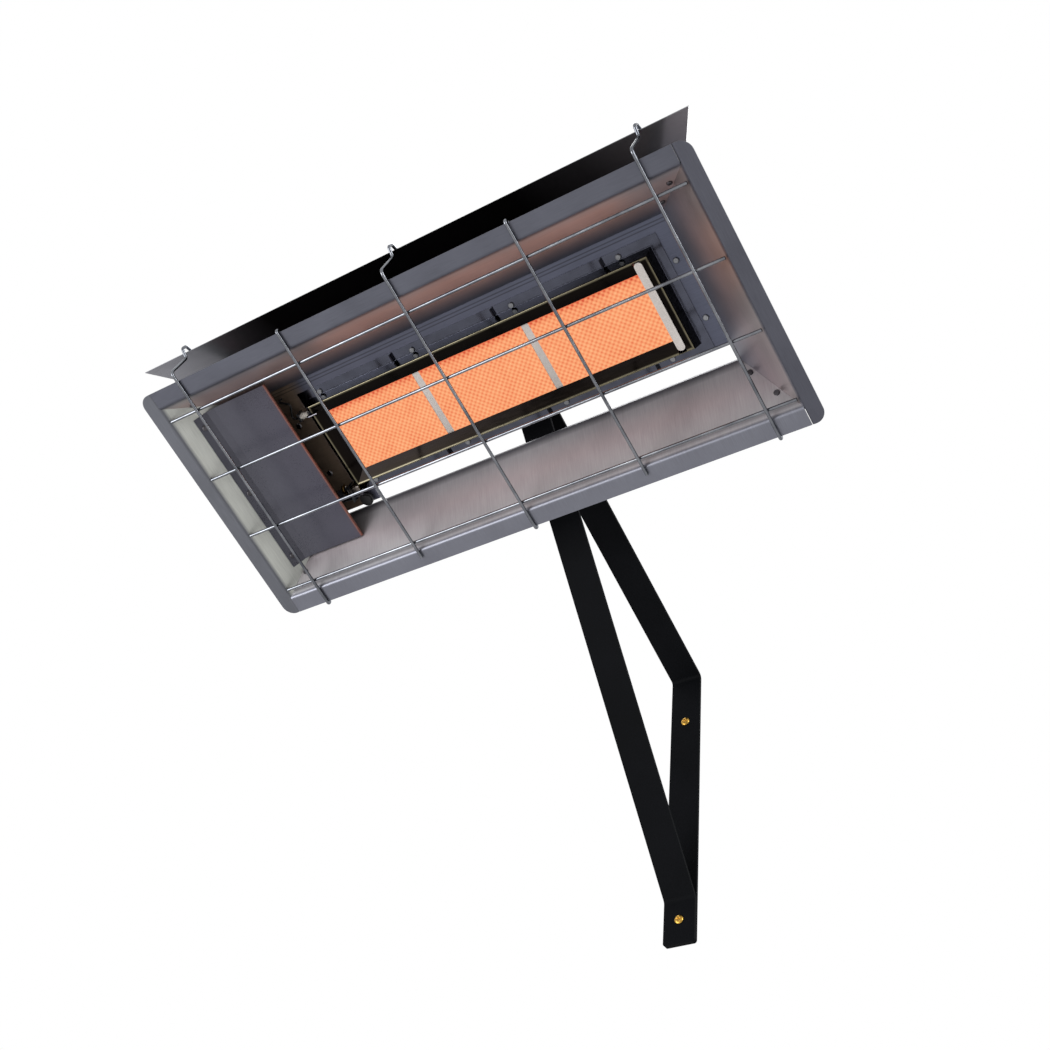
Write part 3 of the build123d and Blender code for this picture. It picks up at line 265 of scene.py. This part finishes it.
def wall_screw(name, height_mm, seat_mm):
    """One screw whose head stands on the leg at seat_mm in front of the wall. Its dome is given as
    shares of the head's radius and their rise above the seat."""
    form = bmesh.new()
    points = [(0.0, 0.0), (screw_shank_radius_mm, 0.0), (screw_shank_radius_mm, seat_mm),
              (screw_head_radius_mm, seat_mm)]
    for share, rise_mm in screw_dome_curve:
        points.append((screw_head_radius_mm * share, seat_mm + rise_mm))
    points.append((0.0, seat_mm + screw_dome_mm))
    verts = [form.verts.new((x / 1000, -y / 1000, 0)) for x, y in points]
    for a, b in zip(verts, verts[1:]):
        form.edges.new((a, b))
    bmesh.ops.spin(form, geom=form.edges[:] + form.verts[:], axis=(0, 1, 0), cent=(0, 0, 0),
                   steps=screw_turn_steps, angle=math.tau, use_merge=True)
    bmesh.ops.remove_doubles(form, verts=form.verts, dist=same_point_m)
    bmesh.ops.recalc_face_normals(form, faces=form.faces)
    bmesh.ops.translate(form, verts=form.verts, vec=(0, 0, height_mm / 1000))
    mesh = bpy.data.meshes.new(name)
    form.to_mesh(mesh)
    form.free()
    for face in mesh.polygons:
        face.use_smooth = True
    screw = bpy.data.objects.new(name, mesh)
    bpy.context.scene.collection.objects.link(screw)
    for half_x, half_z in ((recess_half_length_mm, recess_half_width_mm),
                           (recess_half_width_mm, recess_half_length_mm)):
        cut = bmesh.new()
        bmesh.ops.create_cube(cut, size=1.0)
        bmesh.ops.scale(cut, verts=cut.verts,
                        vec=(2 * half_x / 1000, 2 * recess_depth_mm / 1000, 2 * half_z / 1000))
        bmesh.ops.translate(cut, verts=cut.verts,
                            vec=(0, -(seat_mm + screw_dome_mm) / 1000, height_mm / 1000))
        cut_mesh = bpy.data.meshes.new(name + "_recess")
        cut.to_mesh(cut_mesh)
        cut.free()
        cutter = bpy.data.objects.new(name + "_recess", cut_mesh)
        bpy.context.scene.collection.objects.link(cutter)
        carve = screw.modifiers.new("recess", "BOOLEAN")
        carve.operation = "DIFFERENCE"
        carve.object = cutter
        carve.solver = "EXACT"
        shown_parts = bpy.context.evaluated_depsgraph_get()
        baked = bpy.data.meshes.new_from_object(screw.evaluated_get(shown_parts))
        screw.modifiers.clear()
        screw.data = baked
        bpy.data.objects.remove(cutter)
    screw.data.materials.clear()
    screw.data.materials.append(yellow_brass)
    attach(screw, "bracket")


wall_screw("wall_screw_upper", wall_hole_height_mm, strap_mm)
wall_screw("wall_screw_lower", -wall_hole_height_mm, 2 * strap_mm)


# Bolts, nuts, washers and the clevis that the heater swivels and tilts on are zinc-plated steel,
# rolled or pressed. Most small screws, the springs, the valve's stem and the venturi have the same
# plating, and the screws that show round the mouth are blackened.
zinc_plate = finish("zinc plate on rolled steel", "#63656a", "#94969a", metallic=1.0, rough=0.32,
                    grain_mm=0.8, bump_mm=0.02)
dress(zinc_plate, "swivel_clevis", "swivel_bolt", "swivel_washers", "swivel_nut", "tilt_bolt",
      "tilt_washer", "tilt_wing_nut", "deflector_screws", "yoke_screws", "control_box_screws",
      "knob_spring", "piezo_spring", "valve_stem", "venturi_tube", "retainer_screws",
      "mounting_plate_screws")
dress(finish("blackened steel screw", "#37363a", "#68666a", metallic=1.0, rough=0.35, grain_mm=0.8),
      "reflector_screws", "control_cover_screws")


# The housing's four panels are thin rolled stainless sheet, folded and screwed at the corners.
# The flange is weathered blue-grey and the slopes are brushed bright. Their colour by depth holds
# painted light: painted shade darkens every slope towards the plate, and the room side and right
# end carry a pink painted reflection of the tiles' glow.
sheet_grain_mm = 0.7
# Room side: a pink painted reflection of the tiles' glow on the slope, and painted shade that darkens it
# towards the plate.
dress(finish("rolled stainless sheet, room side", "#d6d4d5", "#f8f6f6", metallic=0.62, rough=0.4,
             grain_mm=sheet_grain_mm, stretch=(30, 1, 1), spread=0.05, bump_mm=0.01,
             depth=[(0, "#5b5e69"), (2, "#5f616c"), (6, "#b9b3b6"), (14, "#c4b2b1"), (40, "#b59b98"),
                    (54, "#8a7c80"), (64, "#666673"), (72, "#575a68")]), "reflector_side_room")
# Wall side: a painted highlight along the bend at 4 mm, painted shade that darkens the slope towards the
# plate, and dark lines of painted shade along the hem.
dress(finish("rolled stainless sheet, wall side", "#dddbdd", "#faf9fa", metallic=0.7, rough=0.38,
             grain_mm=sheet_grain_mm, stretch=(1, 30, 30), spread=0.06, bump_mm=0.01,
             depth=[(0, "#797c86"), (2, "#858790"), (4, "#d0d0d4"), (7, "#98979b"), (12, "#afadaf"),
                    (34, "#b0a8ab"), (56, "#a5a3a6"), (62, "#636166"), (66, "#77767c"),
                    (68, "#4c4b50")]), "reflector_side_wall")
# Left end: painted shade that darkens the slope towards the plate.
dress(finish("rolled stainless sheet, left end, painted shade", "#dddedc", "#fafbf9", metallic=0.7, rough=0.36,
             grain_mm=sheet_grain_mm, stretch=(1, 30, 1), spread=0.06, bump_mm=0.01,
             depth=[(0, "#6a6c75"), (2, "#6f717a"), (5, "#cccecb"), (26, "#c6c8c5"), (50, "#858585"),
                    (72, "#4a4846")]), "reflector_end_left")
# Right end: a pink painted reflection of the tiles' glow on the slope, and painted shade that darkens it
# towards the plate.
dress(finish("rolled stainless sheet, right end", "#dcdbdd", "#f9f8f9", metallic=0.65, rough=0.36,
             grain_mm=sheet_grain_mm, stretch=(1, 30, 1), spread=0.06, bump_mm=0.01,
             depth=[(0, "#565862"), (2, "#5a5c66"), (5, "#958d8c"), (30, "#908487"), (60, "#6e6e79"),
                    (72, "#62646f")]), "reflector_end_right")


# The plate behind the mouth is the same sheet, cold rolled and screwed to the panels. It is
# blue-grey along the burner and brown at the controls end. The fold along its room side is only
# drawn in the finish, as two thin dark lines of painted shade, and the plate is a little darker
# towards its room-side edge.
dress(finish("cold rolled plate with painted fold shade", "#d2d3d6", "#f6f6f8", metallic=0.6, rough=0.38,
             grain_mm=sheet_grain_mm, stretch=(30, 1, 1), spread=0.06, bump_mm=0.012,
             along=[(-302, "#8c7a69"), (-214, "#8e7b6a"), (-198, "#575968"), (279, "#595d6e")],
             across=[(-94, "#e6e6e6"), (-79, "#ffffff"), (-78.4, "#5c5c5c"), (-77.4, "#ffffff"),
                     (-75.4, "#ffffff"), (-74.8, "#5c5c5c"), (-73.8, "#ffffff"), (84, "#ffffff")]),
      "burner_mounting_plate")


# The plenum behind the tiles, its baffle, the tilt yoke and the two small brackets of the pilot
# group are galvanised sheet, folded, with a coarse soft spangle.
dress(finish("galvanised sheet", "#7c7f84", "#a3a6aa", metallic=1.0, rough=0.36, grain_mm=9.0,
             bump_mm=0.02), "plenum_pan", "plenum_baffle", "tilt_yoke", "pilot_bracket", "electrode_clip")


# The canopy over the room side is a single sheet of mirror-polished steel, screwed down by its
# foot. Its middle is darkened with a painted reflection of the housing's shaded outer face, and its
# ends are lightened with a painted reflection of the open room.
dress(finish("mirror-polished sheet with painted reflection", "#d8d8da", "#f4f4f6", metallic=0.85, rough=0.2, grain_mm=0.8,
             stretch=(30, 1, 1), spread=0.025, bump_mm=0.004,
             along=[(-346, "#b4b5bc"), (-290, "#9a9ba2"), (-215, "#5a5b60"), (-170, "#141518"),
                    (150, "#0e0f11"), (225, "#4a4b4f"), (290, "#8a8b8f"), (346, "#a8a9ad")]),
      "heat_deflector")


# The collar round the tiles is pressed from thin bright sheet, coloured by depth: straw along its
# rim, dark on its wall and blue-grey on its foot. The pilot's hood is plainer sheet, browned all
# over.
dress(finish("bright sheet banded by depth", "#cdc9c2", "#f5f2ec", metallic=1.0, rough=0.14, grain_mm=0.8,
             stretch=(20, 20, 1), spread=0.05, bump_mm=0.01,
             depth=[(52.3, "#98937f"), (52.9, "#7b7766"), (53.5, "#191614"), (60, "#161416"),
                    (68.5, "#2a2a33"), (69.6, "#555969"), (71, "#555969")]), "tile_retainer")
dress(finish("heat-tinted hood sheet", "#6a6360", "#8d8681", metallic=1.0, rough=0.25, grain_mm=0.8,
             bump_mm=0.01), "pilot_hood")


# The shield over the controls end and the casing behind it are sheet steel in a blue-grey satin
# stoving paint. A thin red band of painted light from the tiles' glow lies along the shield's edge
# by the tiles.
dress(finish("blue-grey stoving paint with painted glow on its edge", "#d0cfd4", "#f2f1f6", metallic=0.35, rough=0.3, grain_mm=1.2,
             bump_mm=0.03,
             along=[(-300, "#51525b"), (-222, "#4a4955"), (-217.2, "#4d4853"), (-216.4, "#8a5a50"),
                    (-215, "#93604f")]), "control_cover")
dress(finish("grey stoving paint", "#4a4b52", "#5c5d64", metallic=0.35, rough=0.35, grain_mm=1.2,
             bump_mm=0.03), "control_box")


# The wire guard is drawn steel wire, welded where its wires cross and zinc plated bright. Its
# cross wires hook over the canopy's edge and the room-side flange.
dress(finish("bright zinc plate on drawn wire", "#54575e", "#8b8e94", metallic=1.0, rough=0.17,
             grain_mm=2.0, stretch=(12, 12, 12), bump_mm=0.01), "guard_cross_wires", "guard_long_wires")


# The strips between and round the tiles are pressed ceramic fibre, off-white and matt. They are
# cut straight and packed into the gaps.
dress(finish("pressed ceramic fibre", "#9d9894", "#cfcac6", metallic=0.0, rough=0.9, grain_mm=0.5,
             bump_mm=0.12, specular=0.2), "tile_dividers", "tile_gasket", "end_gasket")


# Valve, jet, inlet and pilot burner are turned or cast brass, and the pilot's tube is drawn copper
# that the heat has browned. The probe and the electrode are heat-blued rods, and the leads are
# sleeved in black silicone.
dress(yellow_brass, "gas_orifice", "gas_valve_body", "inlet_fitting", "pilot_burner")
dress(finish("heat-browned copper tube", "#5a4a2a", "#9a7d4a", metallic=1.0, rough=0.28, grain_mm=3.0),
      "pilot_tube")
dress(finish("heat-blued steel rod", "#55545e", "#8c8a90", metallic=1.0, rough=0.3, grain_mm=1.0),
      "thermocouple", "igniter_electrode")
dress(finish("glazed ceramic", "#d8d3ca", "#f0ece5", metallic=0.0, rough=0.2, grain_mm=2.0, coat=0.4),
      "igniter_insulator")
dress(finish("silicone sleeve", "#0c0c0d", "#1b1b1d", metallic=0.0, rough=0.55, grain_mm=0.6),
      "igniter_lead", "thermocouple_lead")


# The knob, the igniter's barrel and the pilot's filter are moulded in black phenolic, and the
# igniter's button is moulded in red polymer.
dress(finish("moulded phenolic", "#101011", "#1f1f21", metallic=0.0, rough=0.42, grain_mm=0.4,
             bump_mm=0.05), "valve_knob", "piezo_body", "pilot_filter")
dress(finish("moulded red polymer", "#7c120d", "#a01c14", metallic=0.0, rough=0.3, grain_mm=0.4,
             bump_mm=0.03), "piezo_button")


# The three burner tiles are pressed cordierite, with rows of small dimples that hold the flame.
# Lit gas makes the faces glow orange, darker in the dimples and redder near the room side.
dimple_pitch_mm = 6.3
dimple_depth_mm = 1.1
cells_per_dimple = 6
tile_long_mm = 132.0
tile_wide_mm = 92.0
tile_thick_mm = 12.8
tile_pitch_mm = 141.0
tile_middle_mm = 12.75
tile_face_mm = 58.7
glow_strength = 0.97
even_heat = 0.56
dimple_heat = -0.27
room_side_from_mm = -40.0
room_side_to_mm = -31.0
room_side_heat = -0.42
patches_per_mm = 0.05
speckles_per_mm = 0.45
noise_swing = 0.3
glow = bpy.data.materials.new("glowing cordierite")
glow.use_nodes = True
glow_tree = glow.node_tree
glow_shader = glow_tree.nodes["Principled BSDF"]
glow_shader.inputs["Roughness"].default_value = 0.9
glow_shader.inputs["Specular IOR Level"].default_value = 0.1
glow_shader.inputs["Base Color"].default_value = linear("#3a2a22")
glow_shader.inputs["Emission Strength"].default_value = glow_strength
glow_mm = heater_millimetres(glow_tree)
glow_axes = add(glow_tree, "ShaderNodeSeparateXYZ", Vector=glow_mm)


def maths(operation, first, second=0.0, third=0.0):
    """One arithmetic step of the tiles' material."""
    step = add(glow_tree, "ShaderNodeMath", {"operation": operation}, i0=first, i1=second, i2=third)
    return step.outputs[0]


tiles_left_mm = tile_middle_mm - tile_pitch_mm - tile_long_mm / 2
across_x = round(tile_long_mm / dimple_pitch_mm)
across_y = round(tile_wide_mm / dimple_pitch_mm)
in_tile = maths("MODULO", maths("SUBTRACT", glow_axes.outputs["X"], tiles_left_mm), tile_pitch_mm)
wave_x = maths("COSINE", maths("MULTIPLY", in_tile, math.tau * across_x / tile_long_mm))
from_edge = maths("ADD", glow_axes.outputs["Y"], tile_wide_mm / 2)
wave_y = maths("COSINE", maths("MULTIPLY", from_edge, math.tau * across_y / tile_wide_mm))
ridge = maths("MULTIPLY_ADD", maths("MULTIPLY", wave_x, wave_y), dimple_heat, even_heat)
room_fade = add(glow_tree, "ShaderNodeMapRange", Value=glow_axes.outputs["Y"],
                From_Min=room_side_from_mm, From_Max=room_side_to_mm,
                To_Min=room_side_heat, To_Max=0.0).outputs[0]
patches = add(glow_tree, "ShaderNodeTexNoise", Vector=glow_mm, Scale=patches_per_mm, Detail=3.0)
warmth = maths("MULTIPLY_ADD", patches.outputs["Fac"], noise_swing, -noise_swing / 2)
speckle = add(glow_tree, "ShaderNodeTexNoise", Vector=glow_mm, Scale=speckles_per_mm, Detail=2.0)
flicker = maths("MULTIPLY_ADD", speckle.outputs["Fac"], noise_swing, -noise_swing / 2)
heat_level = maths("ADD", maths("ADD", ridge, room_fade), maths("ADD", warmth, flicker))
heat_colour = add(glow_tree, "ShaderNodeValToRGB", Fac=heat_level)
heat_stops = heat_colour.color_ramp.elements
heat_stops[0].position = 0.0
heat_stops[0].color = linear("#d4472a")
heat_stops[1].position = 1.0
heat_stops[1].color = linear("#ffc08a")
middle_stop = heat_stops.new(0.5)
middle_stop.color = linear("#f79a68")
glow_tree.links.new(heat_colour.outputs["Color"], glow_shader.inputs["Emission Color"])


def burner_tile(name, middle_mm):
    """One tile: a fine grid pressed into dimples, with its sides drawn down to the back."""
    form = bmesh.new()
    bmesh.ops.create_grid(form, x_segments=across_x * cells_per_dimple,
                          y_segments=across_y * cells_per_dimple, size=0.5)
    bmesh.ops.scale(form, verts=form.verts, vec=(tile_long_mm, tile_wide_mm, 1))
    for v in form.verts:
        row = math.cos(math.tau * (v.co.x / tile_long_mm + 0.5) * across_x)
        column = math.cos(math.tau * (v.co.y / tile_wide_mm + 0.5) * across_y)
        hollow = max(0.0, row * column) ** 2
        rim = min(tile_long_mm / 2 - abs(v.co.x), tile_wide_mm / 2 - abs(v.co.y)) / dimple_pitch_mm
        hollow *= min(1.0, max(0.0, rim * 2))
        v.co.z = dimple_depth_mm * hollow
    rim_edges = [e for e in form.edges if e.is_boundary]
    skirt = bmesh.ops.extrude_edge_only(form, edges=rim_edges)
    lower = [g for g in skirt["geom"] if isinstance(g, bmesh.types.BMVert)]
    for v in lower:
        v.co.z = tile_thick_mm
    bmesh.ops.contextual_create(form, geom=[e for e in form.edges if e.is_boundary])
    bmesh.ops.translate(form, verts=form.verts, vec=(middle_mm, 0, tile_face_mm))
    bmesh.ops.scale(form, verts=form.verts, vec=(0.001, 0.001, 0.001))
    bmesh.ops.transform(form, matrix=hung, verts=form.verts)
    bmesh.ops.recalc_face_normals(form, faces=form.faces)
    mesh = bpy.data.meshes.new(name)
    form.to_mesh(mesh)
    form.free()
    mesh.materials.append(glow)
    tile = bpy.data.objects.new(name, mesh)
    bpy.context.scene.collection.objects.link(tile)
    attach(tile, "heater")
    return tile


for index, side in enumerate(("left", "middle", "right")):
    dimpled = burner_tile("burner_tile_" + side, tile_middle_mm + (index - 1) * tile_pitch_mm)
    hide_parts("ceramic_tile_" + side)
